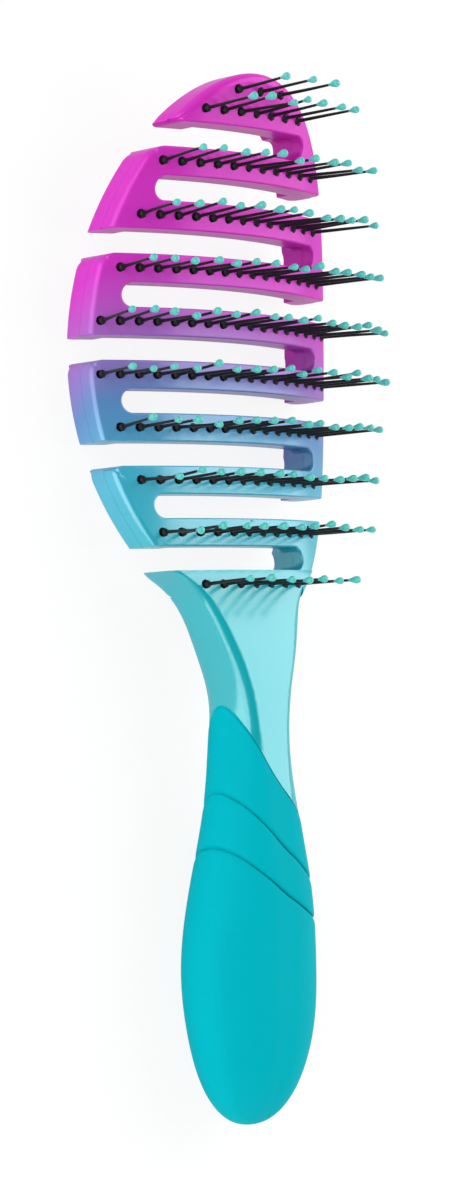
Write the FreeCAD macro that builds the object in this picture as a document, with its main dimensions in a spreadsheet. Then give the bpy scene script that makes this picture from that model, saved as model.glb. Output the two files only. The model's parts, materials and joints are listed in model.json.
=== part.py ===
"""Detangling brush with a flexing serpentine head.

The brush lies on its back: +Z is the way the pins point, +Y runs from the heel of the
handle to the tip of the head, X runs across. Z = 0 is the surface that it lies on.
All sizes are in millimetres.
"""
import FreeCAD, Part
import math
import os
import Sketcher

Vector = FreeCAD.Vector

# Driving dimensions
SIZES = {
    # Rows of pins and the head outline round them, an ellipse seen along Z
    "first_row_y": 108.3,
    "row_pitch": 11.65,
    "tip_margin": 8.9,
    "base_margin": 9.4,
    "head_half_width": 38.6,
    # Saddle of the head: arched across, hollow lengthwise, lowest behind its middle
    "arch_radius": 97.0,
    "sweep_radius": 235.6,
    "sweep_low_offset": 14.2,
    "front_low_z": 16.56,
    # Bars, the webs that close the slots, and the layers through the head
    "bar_width": 6.3,
    "web_width": 6.5,
    "web_root": 1.0,
    "front_thickness": 3.0,
    "seam_gap": 0.06,
    "bar_thickness": 5.5,
    "rail_depth": 8.66,
    "rail_width": 7.0,
    "rim_round": 1.8,
    "slot_round": 0.4,
    "rear_round": 2.0,
    # Pins
    "pin_pitch": 4.65,
    "pin_pitch_growth": 0.1,
    "pin_margin": 2.2,
    "pin_reach": 15.8,
    "pin_root_diameter": 1.1,
    "pin_end_diameter": 0.76,
    "pin_end_length": 1.4,
    "collar_diameter": 2.0,
    "collar_lip": 0.15,
    "collar_height": 0.55,
    "anchor_diameter": 3.0,
    "anchor_thickness": 0.8,
    "pin_clearance": 0.05,
    "tip_row_gap": 4.7,
    "tip_row_pitch": 7.0,
    # Bonded tips of the pins
    "ball_diameter": 2.0,
    "ball_height": 16.4,
    "ball_neck_diameter": 1.0,
    "ball_neck_height": 14.6,
    "socket_clearance": 0.02,
    # Handle, measured from the shoulder below the last slot
    "handle_length": 124.2,
    "heel_fullness": 2.2,
    "heel_drop": 1.6,
    "grip_thickness": 2.2,
    "grip_edge_run": 47.1,
    "grip_edge_angle": 52.5,
    "upper_groove_run": 61.1,
    "upper_groove_angle": 42.5,
    "lower_groove_run": 71.8,
    "lower_groove_angle": 32.8,
    "line_radius": 56.0,
    "groove_width": 1.2,
    "groove_depth": 0.7,
    "cover_half_width": 17.0,
    "cover_length": 5.6,
    "cover_clearance": 0.1,
}

# Handle stations: distance from the shoulder, half width, half width of the front face, rise
# of the front above the shoulder, height of the back, reach of the rounds beside the face, share
# of the thickness below the widest line, fullness of the back and share of a flank that is upright
STATION_FIELDS = ("run", "half_width", "face", "rise", "back", "round", "hip", "fullness", "upright")
STATIONS = {
    "shoulder": (0.0, 23.8, 23.3, 0.0, 5.7, 1.5, 0.25, 2.5, 0.75),
    "flare": (3.4, 19.0, 18.5, 0.53, 5.7, 1.5, 0.3, 2.2, 0.75),
    "throat": (9.2, 15.1, 13.8, 1.6, 7.3, 1.5, 0.35, 1.8, 0.75),
    "neck": (18.2, 11.7, 10.0, 3.2, 7.6, 1.6, 0.4, 1.3, 0.75),
    "stem": (27.6, 9.3, 7.2, 3.7, 7.7, 1.8, 0.5, 1.0, 0.5),
    "waist": (39.6, 9.5, 5.8, 3.8, 6.7, 2.2, 0.5, 0.85, 0.27),
    "rest": (53.6, 11.2, 6.6, 4.75, 5.0, 3.6, 0.5, 0.85, 0.35),
    "swell": (69.6, 14.6, 8.2, 5.75, 2.0, 5.0, 0.5, 0.85, 0.45),
    "palm": (88.6, 17.35, 10.0, 4.5, 0.03, 6.5, 0.5, 0.85, 0.45),
}
TANG_START = "stem"

ROWS = 10
TIP_ROW_PINS = 3
# Shares of the way from the palm to the end at which the heel is drawn
HEEL_STEPS = (0.42, 0.66, 0.84, 0.95, 0.99)
# Fullness of the flanks and of the rounds beside the front face, as a conic's middle weight
FLANK_WEIGHT = 0.9
EDGE_WEIGHT = 0.8
# A section that is narrower than this many insets is left out of a form drawn in
LEAST_INSETS = 1.5
SWEEP_ANGLE = 46.0
SLAB_OVERSIZE = 1.12
# Share of the way out to the head outline from which a point counts as on it
ON_OUTLINE = 0.999
FAR = 70.0
# Half length of the curved stretch of the grip's edge and grooves
LINE_REACH = 24.0
SAME = 0.01

doc = FreeCAD.newDocument("detangling_brush")
sheet = doc.addObject("Spreadsheet::Sheet", "sizes")
nodes = []


def fill_sheet():
    """Write every driving dimension into the sheet under its own name."""
    entries = dict(SIZES)
    for station, values in STATIONS.items():
        for field, number in zip(STATION_FIELDS, values):
            entries[station + "_" + field] = number
    for line, (name, number) in enumerate(entries.items(), start=1):
        sheet.set("A%d" % line, name)
        sheet.set("B%d" % line, str(number))
        sheet.setAlias("B%d" % line, name)
    doc.recompute()


def size(name):
    """A driving dimension as a number."""
    return float(sheet.get(name))


def value(expression):
    """What an expression over the sheet comes to."""
    return float(sheet.evalExpression(expression))


def bind(target, **expressions):
    """Tie properties to expressions; a double underscore stands for a dot."""
    for name, expression in expressions.items():
        target.setExpression(name.replace("__", "."), expression)


def row_y(row):
    """Expression for the place of a pin row along Y."""
    return "(sizes.first_row_y - %d * sizes.row_pitch)" % (row - 1)


def slot_y(slot):
    """Expression for the middle of the slot below a bar."""
    return "(%s - sizes.row_pitch / 2)" % row_y(slot)


HEAD_TOP = "(%s + sizes.tip_margin)" % row_y(1)
HEAD_BASE = "(%s - sizes.base_margin)" % row_y(ROWS)
HEAD_CENTRE = "((%s + %s) / 2)" % (HEAD_TOP, HEAD_BASE)
HEAD_HALF_LENGTH = "((%s - %s) / 2)" % (HEAD_TOP, HEAD_BASE)
SWEEP_LOW = "(%s - sizes.sweep_low_offset)" % HEAD_CENTRE
SHOULDER = "(%s + sizes.bar_width / 2)" % row_y(ROWS)
SLOT_WIDTH = "(sizes.row_pitch - sizes.bar_width)"
HALF_BAND = "(sizes.bar_width / 2 + sizes.web_root)"


def front_z(y):
    """Expression for the height of the front surface on the middle line."""
    return ("(sizes.front_low_z + sizes.sweep_radius"
            " - sqrt(sizes.sweep_radius ^ 2 - (%s - %s) ^ 2))" % (y, SWEEP_LOW))


def front_slope(y):
    """Expression for the steepness of the front surface on the middle line."""
    away = "(%s - %s)" % (y, SWEEP_LOW)
    return "(abs(%s) / sqrt(sizes.sweep_radius ^ 2 - %s ^ 2))" % (away, away)


def outline_x(y):
    """Expression for the half width of the head outline."""
    return ("(sizes.head_half_width * sqrt(1 - ((%s - %s) / %s) ^ 2))"
            % (y, HEAD_CENTRE, HEAD_HALF_LENGTH))


def row_pin_pitch(row):
    """Expression for the pin spacing of a row, wider towards both ends of the head."""
    middle = (ROWS + 1) / 2
    share = ((row - middle) / (ROWS - middle)) ** 2
    return "(sizes.pin_pitch * (1 + %r * sizes.pin_pitch_growth))" % share


def pins_each_side(row):
    """As many pins as fit between the middle line and the end of a bar."""
    half_arc = size("arch_radius") * math.asin(value(outline_x(row_y(row))) / size("arch_radius"))
    return int((half_arc - size("pin_margin")) / value(row_pin_pitch(row)))


def origin_part(body, role):
    """A plane or axis of a body's own origin."""
    return [part for part in body.Origin.OriginFeatures if part.Role == role][0]


def new_sketch(body, plane, name):
    """A sketch on one of the body's origin planes."""
    sketch = body.newObject("Sketcher::SketchObject", name)
    sketch.AttachmentSupport = [(origin_part(body, plane), "")]
    sketch.MapMode = "FlatFace"
    return sketch


def constrain(sketch, kind, *reference):
    """Add one geometric constraint to a sketch."""
    sketch.addConstraint(Sketcher.Constraint(kind, *reference))


def dimension(sketch, kind, reference, expression):
    """Add one dimension to a sketch and tie it to the sheet."""
    index = sketch.addConstraint(Sketcher.Constraint(kind, *reference, value(expression)))
    sketch.setExpression("Constraints[%d]" % index, expression)


def place_corner(sketch, line, corner):
    """Fix the start of a line at expressions (x, y) from the sketch origin."""
    for kind, axis, expression in zip(("DistanceX", "DistanceY"), (-2, -1), corner):
        if expression == "0":
            constrain(sketch, "PointOnObject", line, 1, axis)
        else:
            dimension(sketch, kind, (-1, 1, line, 1), expression)


def closed_profile(sketch, corners):
    """A closed polygon whose corners are pairs of expressions."""
    points = [Vector(value(x), value(y), 0) for x, y in corners]
    count = len(points)
    for i in range(count):
        sketch.addGeometry(Part.LineSegment(points[i], points[(i + 1) % count]))
    for i in range(count):
        constrain(sketch, "Coincident", i, 2, (i + 1) % count, 1)
    for i, corner in enumerate(corners):
        place_corner(sketch, i, corner)


def boolean(kind, name, base, tool):
    """A cut, common or fuse of two objects."""
    result = doc.addObject("Part::" + kind, name)
    result.Base = base
    result.Tool = tool
    return result


def block(name, low, high):
    """A box between two corners given as expressions."""
    box = doc.addObject("Part::Box", name)
    spans = ["%s - (%s)" % (top, bottom) for bottom, top in zip(low, high)]
    bind(box, Length=spans[0], Width=spans[1], Height=spans[2])
    bind(box, Placement__Base__x=low[0], Placement__Base__y=low[1], Placement__Base__z=low[2])
    return box


def saddle_slab(name, top, bottom):
    """A layer of the saddle between two depths below its front surface."""
    body = doc.addObject("PartDesign::Body", name)
    bind(body, Placement__Base__y=SWEEP_LOW, Placement__Base__z="sizes.front_low_z")
    sketch = new_sketch(body, "XZ_Plane", name + "_arch")
    half_width = "%r * sizes.head_half_width" % SLAB_OVERSIZE
    half_angle = math.asin(value(half_width) / value("sizes.arch_radius - (%s)" % top))
    radii = ["sizes.arch_radius - (%s)" % depth for depth in (top, bottom)]
    arcs = []
    for radius in radii:
        circle = Part.Circle(Vector(0, -size("arch_radius"), 0), Vector(0, 0, 1), value(radius))
        arcs.append(Part.ArcOfCircle(circle, math.pi / 2 - half_angle, math.pi / 2 + half_angle))
        sketch.addGeometry(arcs[-1])
    sketch.addGeometry(Part.LineSegment(arcs[0].StartPoint, arcs[1].StartPoint))
    sketch.addGeometry(Part.LineSegment(arcs[0].EndPoint, arcs[1].EndPoint))
    for line, arc_end in ((2, 1), (3, 2)):
        constrain(sketch, "Coincident", line, 1, 0, arc_end)
        constrain(sketch, "Coincident", line, 2, 1, arc_end)
    constrain(sketch, "Coincident", 0, 3, 1, 3)
    constrain(sketch, "PointOnObject", 0, 3, -2)
    constrain(sketch, "Symmetric", 0, 1, 0, 2, -2)
    constrain(sketch, "Symmetric", 1, 1, 1, 2, -2)
    constrain(sketch, "PointOnObject", 0, 3, 2)
    dimension(sketch, "DistanceY", (0, 3, -1, 1), "sizes.arch_radius")
    for arc, radius in enumerate(radii):
        dimension(sketch, "Radius", (arc,), radius)
    dimension(sketch, "DistanceX", (-1, 1, 0, 1), half_width)
    pivot = Vector(0, size("sweep_radius"), 0)
    axis = sketch.addGeometry(Part.LineSegment(pivot, pivot + Vector(1, 0, 0)), True)
    constrain(sketch, "Horizontal", axis)
    constrain(sketch, "PointOnObject", axis, 1, -2)
    dimension(sketch, "DistanceY", (-1, 1, axis, 1), "sizes.sweep_radius")
    feature = body.newObject("PartDesign::Revolution", name + "_sweep")
    feature.Profile = sketch
    feature.ReferenceAxis = (sketch, ["Axis0"])
    feature.Midplane = True
    feature.Angle = SWEEP_ANGLE
    return body


def outline_prism(name, inset):
    """The head outline, drawn in by an inset, as an upright prism."""
    ellipse = doc.addObject("Part::Ellipse", name + "_curve")
    bind(ellipse, MajorRadius="%s - (%s)" % (HEAD_HALF_LENGTH, inset),
         MinorRadius="sizes.head_half_width - (%s)" % inset)
    ellipse.Placement = FreeCAD.Placement(Vector(0, 0, -FAR), FreeCAD.Rotation(Vector(0, 0, 1), 90))
    bind(ellipse, Placement__Base__y=HEAD_CENTRE)
    prism = doc.addObject("Part::Extrusion", name)
    prism.Base = ellipse
    prism.DirMode = "Custom"
    prism.Dir = Vector(0, 0, 1)
    prism.LengthFwd = 2 * FAR
    prism.Solid = True
    return prism


def slot_cutters():
    """The slots: straight, open at one side and round at the other by turns."""
    tools = []
    for slot in range(1, ROWS):
        side = 1 if slot % 2 else -1
        middle = slot_y(slot)
        centre = "%d * (%s - sizes.web_width - %s / 2)" % (side, outline_x(middle), SLOT_WIDTH)
        low, high = (str(-FAR), centre) if side > 0 else (centre, str(FAR))
        edges = ["%s %s %s / 2" % (middle, sign, SLOT_WIDTH) for sign in "-+"]
        tools.append(block("slot_%d_run" % slot, (low, edges[0], str(-FAR)), (high, edges[1], str(FAR))))
        end = doc.addObject("Part::Cylinder", "slot_%d_end" % slot)
        bind(end, Radius=SLOT_WIDTH + " / 2", Height=str(2 * FAR), Placement__Base__x=centre,
             Placement__Base__y=middle, Placement__Base__z=str(-FAR))
        tools.append(end)
    fuse = doc.addObject("Part::MultiFuse", "slots")
    fuse.Shapes = tools
    return fuse


def on_outline(point):
    """True for a point on the head outline, seen along Z."""
    across = point.x / size("head_half_width")
    along = (point.y - value(HEAD_CENTRE)) / value(HEAD_HALF_LENGTH)
    return math.hypot(across, along) > ON_OUTLINE


def depth(point):
    """Depth of a point below the front surface, measured square to the saddle."""
    reach = size("sweep_radius") + size("front_low_z") - point.z
    drop = math.hypot(reach, point.y - value(SWEEP_LOW)) - size("sweep_radius")
    return size("arch_radius") - math.hypot(point.x, size("arch_radius") - drop)


def edge_middle(edge):
    """The point half way along an edge."""
    return edge.valueAt((edge.FirstParameter + edge.LastParameter) / 2)


def rounded(name, base, chosen, radius):
    """Round those edges of an object that a test chooses."""
    doc.recompute()
    fillet = doc.addObject("Part::Fillet", name)
    fillet.Base = base
    picked = [i for i, edge in enumerate(base.Shape.Edges, start=1) if chosen(edge_middle(edge))]
    fillet.Edges = [(i, size(radius), size(radius)) for i in picked]
    return fillet


def round_front_rim(name, base):
    """Round the outer edge at the front of a front piece."""
    def rim(point):
        return on_outline(point) and abs(depth(point)) < SAME

    return rounded(name + "_rim", base, rim, "rim_round")


def round_front(name, base, cuts):
    """Round the rim and the slot edges of a front piece, but not where it is cut off."""
    def slot_edge(point):
        inside = abs(point.x) < value(outline_x(str(point.y))) - size("rim_round") / 2
        on_cut = any(abs(point.y - cut) < SAME for cut in cuts)
        return abs(depth(point)) < SAME and inside and not on_cut

    return rounded(name + "_edges", round_front_rim(name, base), slot_edge, "slot_round")


def round_rear(name, base):
    """Round the outer edge at the back of a rear piece."""
    def rim(point):
        return on_outline(point) and abs(depth(point) - size("rail_depth")) < SAME

    return rounded(name + "_rim", base, rim, "rear_round")


def pin_levels(y, base):
    """Expressions for the underside and the top of a pin's anchor."""
    seat = "(sizes.pin_clearance + sizes.anchor_diameter / 2 * %s)" % front_slope(y)
    underside = "(%s - sizes.front_thickness + %s)" % (base, seat)
    return underside, "(%s + sizes.anchor_thickness)" % underside


def pin_profile(sketch, y, base):
    """Half section of a pin: anchor, plug, collar and tapered shaft."""
    underside, top = pin_levels(y, base)
    end = "%s + sizes.pin_reach" % base
    closed_profile(sketch, (
        ("0", underside),
        ("sizes.anchor_diameter / 2", underside),
        ("sizes.anchor_diameter / 2", top),
        ("sizes.collar_diameter / 2", top),
        ("sizes.collar_diameter / 2", base + " + sizes.collar_lip"),
        ("sizes.pin_root_diameter / 2", base + " + sizes.collar_height"),
        ("sizes.pin_end_diameter / 2", end + " - sizes.pin_end_length"),
        ("sizes.pin_end_diameter / 2", end),
        ("0", end)))


def seat_profile(sketch, y, base):
    """Half section of the bore and counterbore that hold a pin."""
    underside, top = pin_levels(y, base)
    below = underside + " - sizes.front_thickness"
    above = base + " + sizes.front_thickness"
    anchor = "sizes.anchor_diameter / 2 + sizes.pin_clearance"
    plug = "sizes.collar_diameter / 2 + sizes.pin_clearance"
    shelf = top + " + sizes.pin_clearance"
    closed_profile(sketch, (("0", below), (anchor, below), (anchor, shelf), (plug, shelf),
                            (plug, above), ("0", above)))


def ball_profile(sketch, y, base):
    """Half section of a bonded tip: a drop with a blind socket for the pin's end."""
    radius = size("ball_diameter") / 2
    middle = value(base) + size("ball_height")
    neck = Vector(size("ball_neck_diameter") / 2, value(base) + size("ball_neck_height"), 0)
    socket = "sizes.pin_end_diameter / 2 + sizes.socket_clearance"
    roof = base + " + sizes.pin_reach + sizes.socket_clearance"
    away = math.hypot(neck.x, neck.y - middle)
    angle = math.atan2(neck.y - middle, neck.x) + math.acos(radius / away)
    circle = Part.Circle(Vector(0, middle, 0), Vector(0, 0, 1), radius)
    ball = Part.ArcOfCircle(circle, angle, math.pi / 2)
    corners = [Vector(value(socket), neck.y, 0), neck, ball.StartPoint, ball.EndPoint,
               Vector(0, value(roof), 0), Vector(value(socket), value(roof), 0)]
    sketch.addGeometry(Part.LineSegment(corners[0], corners[1]))
    sketch.addGeometry(Part.LineSegment(corners[1], corners[2]))
    sketch.addGeometry(ball)
    for i in (3, 4, 5):
        sketch.addGeometry(Part.LineSegment(corners[i], corners[(i + 1) % 6]))
    for i in (0, 2, 3, 4, 5):
        constrain(sketch, "Coincident", i, 2, (i + 1) % 6, 1)
    constrain(sketch, "Tangent", 1, 2, 2, 1)
    constrain(sketch, "PointOnObject", 2, 3, -2)
    constrain(sketch, "PointOnObject", 2, 2, -2)
    constrain(sketch, "PointOnObject", 3, 2, -2)
    constrain(sketch, "Horizontal", 0)
    constrain(sketch, "Horizontal", 4)
    constrain(sketch, "Vertical", 5)
    dimension(sketch, "Radius", (2,), "sizes.ball_diameter / 2")
    dimension(sketch, "DistanceY", (-1, 1, 2, 3), base + " + sizes.ball_height")
    dimension(sketch, "DistanceX", (-1, 1, 0, 2), "sizes.ball_neck_diameter / 2")
    dimension(sketch, "DistanceY", (-1, 1, 0, 2), base + " + sizes.ball_neck_height")
    dimension(sketch, "DistanceX", (-1, 1, 5, 1), socket)
    dimension(sketch, "DistanceY", (-1, 1, 4, 1), roof)


def fan_row(body, name, profile, y, base, steps, pitch, ahead="0"):
    """One row of turned pieces, spread to both sides round the axis of the arch."""
    sketch = new_sketch(body, "XZ_Plane", name + "_profile")
    bind(sketch, AttachmentOffset__Base__z="-(%s)" % ahead)
    profile(sketch, y, base)
    turned = body.newObject("PartDesign::Revolution", name + "_turned")
    turned.Profile = sketch
    turned.ReferenceAxis = (sketch, ["V_Axis"])
    turned.Angle = 360
    for side, reverse in (("right", False), ("left", True)):
        doc.recompute()
        pattern = body.newObject("PartDesign::PolarPattern", name + "_" + side)
        pattern.Originals = [turned]
        pattern.Axis = (origin_part(body, "Y_Axis"), [""])
        pattern.Reversed = reverse
        pattern.Occurrences = steps + 1
        bind(pattern, Angle="%d * %s / sizes.arch_radius * 180 / pi" % (steps, pitch))
        body.Tip = pattern


def pin_set(name, profile, row):
    """All the turned pieces of one bar; the tip bar has a short row in front as well."""
    body = doc.addObject("PartDesign::Body", name)
    y = row_y(row)
    bind(body, Placement__Base__y=y, Placement__Base__z="%s - sizes.arch_radius" % front_z(y))
    fan_row(body, name, profile, y, "sizes.arch_radius", pins_each_side(row), row_pin_pitch(row))
    if row == 1:
        ahead = "(%s + sizes.tip_row_gap)" % y
        base = "(sizes.arch_radius + %s - %s)" % (front_z(ahead), front_z(y))
        fan_row(body, name + "_ahead", profile, ahead, base, TIP_ROW_PINS // 2,
                "sizes.tip_row_pitch", "sizes.tip_row_gap")
    return body


def conic(*poles, weight=1.0):
    """A conic edge from three poles."""
    curve = Part.BezierCurve()
    curve.setPoles(list(poles))
    curve.setWeight(2, weight)
    return curve.toShape()


def handle_section(y, half_width, face, front, back, reach, hip, fullness, upright, inset):
    """One closed section of the handle: front face, rounds beside it, flanks and a round back."""
    scale = (half_width - inset) / half_width
    half_width *= scale
    face *= scale
    reach *= scale
    front -= inset
    back += inset
    widest = back + hip * (front - back)
    crease = front - face ** 2 / (2 * size("arch_radius"))
    bend = widest + upright * (crease - widest)
    corner = Vector(face, y, crease)
    pole = Vector(half_width, y, bend)
    hip_point = Vector(half_width, y, widest)
    inner = corner + (Vector(0, y, 2 * front - crease) - corner).normalize() * reach
    outer = corner + (pole - corner).normalize() * reach
    half = [conic(inner, corner, outer, weight=EDGE_WEIGHT),
            conic(outer, pole, hip_point, weight=FLANK_WEIGHT),
            conic(hip_point, Vector(half_width, y, back), Vector(0, y, back), weight=fullness)]
    top = conic(Vector(-inner.x, y, inner.z), Vector(0, y, 2 * front - inner.z), inner)
    other = [edge.mirror(Vector(), Vector(1, 0, 0)) for edge in half]
    return Part.Wire([top] + half + other[::-1])


def handle_stations():
    """Sections of the handle from the shoulder to the heel, as numbers."""
    stations = []
    level = value(front_z(SHOULDER))
    for name in STATIONS:
        run, half_width, face, rise, *shape = (size(name + "_" + field) for field in STATION_FIELDS)
        stations.append((value(SHOULDER) - run, half_width, face, level + rise, *shape))
    palm_y, half_width, face, front, back, reach, *shape = stations[-1]
    length = palm_y - value(SHOULDER) + size("handle_length")
    fullness = size("heel_fullness")
    middle = (front + back) / 2
    for step in HEEL_STEPS:
        scale = (1 - step ** fullness) ** (1 / fullness)
        axis = middle - size("heel_drop") * step ** 2
        stations.append((palm_y - length * step, half_width * scale, face * scale,
                         axis + (front - middle) * scale, axis - (middle - back) * scale,
                         reach * scale, *shape))
    return stations


def handle_form(name, inset=0.0, first=0):
    """The handle form, drawn in by an inset, from one of its sections to the heel."""
    wires = [handle_section(*station, inset) for station in handle_stations()[first:]
             if station[1] > LEAST_INSETS * inset]
    feature = doc.addObject("Part::Feature", name)
    feature.Shape = Part.makeLoft(wires, True, False)
    return feature


def below_line(name, run, angle, shift=0.0):
    """All the space below a slanted and curved line across the handle, seen along Z."""
    radius = size("line_radius")
    sag = radius - math.sqrt(radius ** 2 - LINE_REACH ** 2)
    left = Vector(-LINE_REACH, sag, -FAR)
    right = Vector(LINE_REACH, sag, -FAR)
    arc = Part.Arc(left, Vector(0, 0, -FAR), right).toShape()
    corners = [Vector(2 * side * FAR, height, -FAR) for side, height in
               ((1, sag), (1, -2 * FAR), (-1, -2 * FAR), (-1, sag))]
    rest = Part.makePolygon([right, *corners, left])
    space = doc.addObject("Part::Feature", name)
    space.Shape = Part.Face(Part.Wire([arc] + rest.Edges)).extrude(Vector(0, 0, 2 * FAR))
    turn = FreeCAD.Rotation(Vector(0, 0, 1), -size(angle))
    start = Vector(0, value(SHOULDER) - size(run), 0) - turn.multVec(Vector(0, shift, 0))
    space.Placement = FreeCAD.Placement(start, turn)
    return space


def add_node(part, label):
    """Keep an object as a sub-part of its own."""
    part.Label = label
    nodes.append(part)


def make_frames():
    """The two moulded layers of the head, each one serpentine."""
    outline = outline_prism("head_outline", "0")
    recess_outline = outline_prism("recess_outline", "sizes.rail_width")
    front_slab = saddle_slab("front_slab", "0", "sizes.front_thickness")
    rear_slab = saddle_slab("rear_slab", "sizes.front_thickness + sizes.seam_gap", "sizes.rail_depth")
    recess_slab = saddle_slab("recess_slab", "sizes.bar_thickness", "sizes.arch_radius / 4")
    slots = slot_cutters()
    front_blank = boolean("Common", "front_blank", front_slab, outline)
    rear_blank = boolean("Common", "rear_blank", rear_slab, outline)
    recess = boolean("Common", "rear_recess", recess_slab, recess_outline)
    rear_skin = boolean("Cut", "rear_skin", rear_blank, recess)
    front = boolean("Cut", "front_frame", front_blank, slots)
    rear = boolean("Cut", "rear_frame", rear_skin, slots)
    return front, rear


def make_bars(front, rear):
    """Bars and webs of the head, cut from the two layers at the roots of the webs."""
    for row in range(1, ROWS):
        low = "(%s - %s)" % (row_y(row), HALF_BAND)
        high = "(%s + %s)" % (row_y(row), HALF_BAND) if row > 1 else HEAD_TOP + " + sizes.bar_width"
        below = "(%s + %s)" % (row_y(row + 1), HALF_BAND)
        seats = pin_set("seats_%d" % row, seat_profile, row)
        for kind, y_low, y_high in (("bar", low, high), ("link", below, low)):
            band = block("%s_band_%d" % (kind, row),
                         (str(-FAR), y_low, str(-FAR)), (str(FAR), y_high, str(FAR)))
            cuts = (value(y_low), value(y_high))
            name = "front_%s_%d" % (kind, row)
            piece = round_front(name, boolean("Common", name + "_raw", front, band), cuts)
            if kind == "bar":
                piece = boolean("Cut", name + "_bored", piece, seats)
            add_node(piece, name)
            name = "rear_%s_%d" % ("cover" if kind == "bar" else "link", row)
            add_node(round_rear(name, boolean("Common", name + "_raw", rear, band)), name)


def make_handle(front, rear):
    """Handle core with the last bar, its rear cover and the moulded-on grip."""
    form = handle_form("handle_outer")
    tang_start = list(STATIONS).index(TANG_START)
    tang = handle_form("tang", size("grip_thickness"), tang_start)
    groove_floor = handle_form("groove_floor", size("groove_depth"), tang_start)
    below_edge = below_line("below_edge", "grip_edge_run", "grip_edge_angle")
    neck = boolean("Cut", "neck_form", form, below_edge)
    core = boolean("Fuse", "core_with_tang", neck, tang)
    web_top = "%s + sizes.web_root" % SHOULDER
    foot = block("web_foot", ("sizes.cover_half_width", HEAD_BASE, str(-FAR)),
                 (str(FAR), web_top, str(FAR)))
    front_foot = round_front_rim("front_foot", boolean("Common", "front_foot_raw", front, foot))
    rear_foot = round_rear("rear_foot", boolean("Common", "rear_foot_raw", rear, foot))
    core = boolean("Fuse", "core_with_front_foot", core, front_foot)
    core = boolean("Fuse", "core_with_rear_foot", core, rear_foot)
    edge = "%s - sizes.cover_length" % SHOULDER
    pocket = block("cover_pocket", ("-sizes.cover_half_width", edge, str(-FAR)),
                   ("sizes.cover_half_width", web_top, str(FAR)))
    under = saddle_slab("under_slab", "sizes.front_thickness", "sizes.arch_radius / 4")
    core = boolean("Cut", "core_pocketed", core, boolean("Common", "pocket_space", under, pocket))
    core = boolean("Cut", "core_bored", core, pin_set("seats_%d" % ROWS, seat_profile, ROWS))
    add_node(core, "handle_core")
    inner = "(sizes.cover_half_width - sizes.cover_clearance)"
    seat = block("cover_seat", ("-" + inner, edge + " + sizes.cover_clearance", str(-FAR)),
                 (inner, SHOULDER, str(FAR)))
    layer = saddle_slab("cover_slab", "sizes.front_thickness + sizes.seam_gap", "sizes.bar_thickness")
    add_node(boolean("Common", "rear_cover_%d" % ROWS, layer, seat), "rear_cover_%d" % ROWS)
    grip = boolean("Cut", "grip_shell", boolean("Common", "grip_form", form, below_edge), tang)
    for name in ("upper_groove", "lower_groove"):
        upper = below_line(name + "_upper", name + "_run", name + "_angle")
        lower = below_line(name + "_lower", name + "_run", name + "_angle", size("groove_width"))
        strip = boolean("Cut", name + "_strip", upper, lower)
        grip = boolean("Cut", name + "_cut", grip, boolean("Cut", name, strip, groove_floor))
    add_node(grip, "grip")


def make_pins():
    """Pins and their bonded tips, one set for each bar."""
    for row in range(1, ROWS + 1):
        add_node(pin_set("pins_%d" % row, pin_profile, row), "pins_row_%d" % row)
        add_node(pin_set("tips_%d" % row, ball_profile, row), "tips_row_%d" % row)


def check_document():
    """Stop if any object failed, or if a sub-part has no sound solid."""
    doc.recompute()
    failed = [part.Name for part in doc.Objects if {"Invalid", "Error"} & set(part.State)]
    for part in nodes:
        shape = part.Shape
        if shape.isNull() or not shape.isValid() or not shape.Solids:
            failed.append(part.Label)
    if failed:
        raise RuntimeError("failed: " + ", ".join(failed))


fill_sheet()
front_frame, rear_frame = make_frames()
make_bars(front_frame, rear_frame)
make_handle(front_frame, rear_frame)
make_pins()
check_document()
os.makedirs("parts", exist_ok=True)
for node in nodes:
    node.Shape.exportStep(os.path.join("parts", node.Label + ".step"))
print(len(nodes), "sub-parts")
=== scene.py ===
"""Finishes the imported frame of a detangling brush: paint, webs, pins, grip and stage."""
import json
import math
import random

import bmesh
import bpy
import numpy as np
from bpy.props import FloatProperty, FloatVectorProperty, IntProperty, PointerProperty
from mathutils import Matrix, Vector
from mathutils.bvhtree import BVHTree

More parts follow.
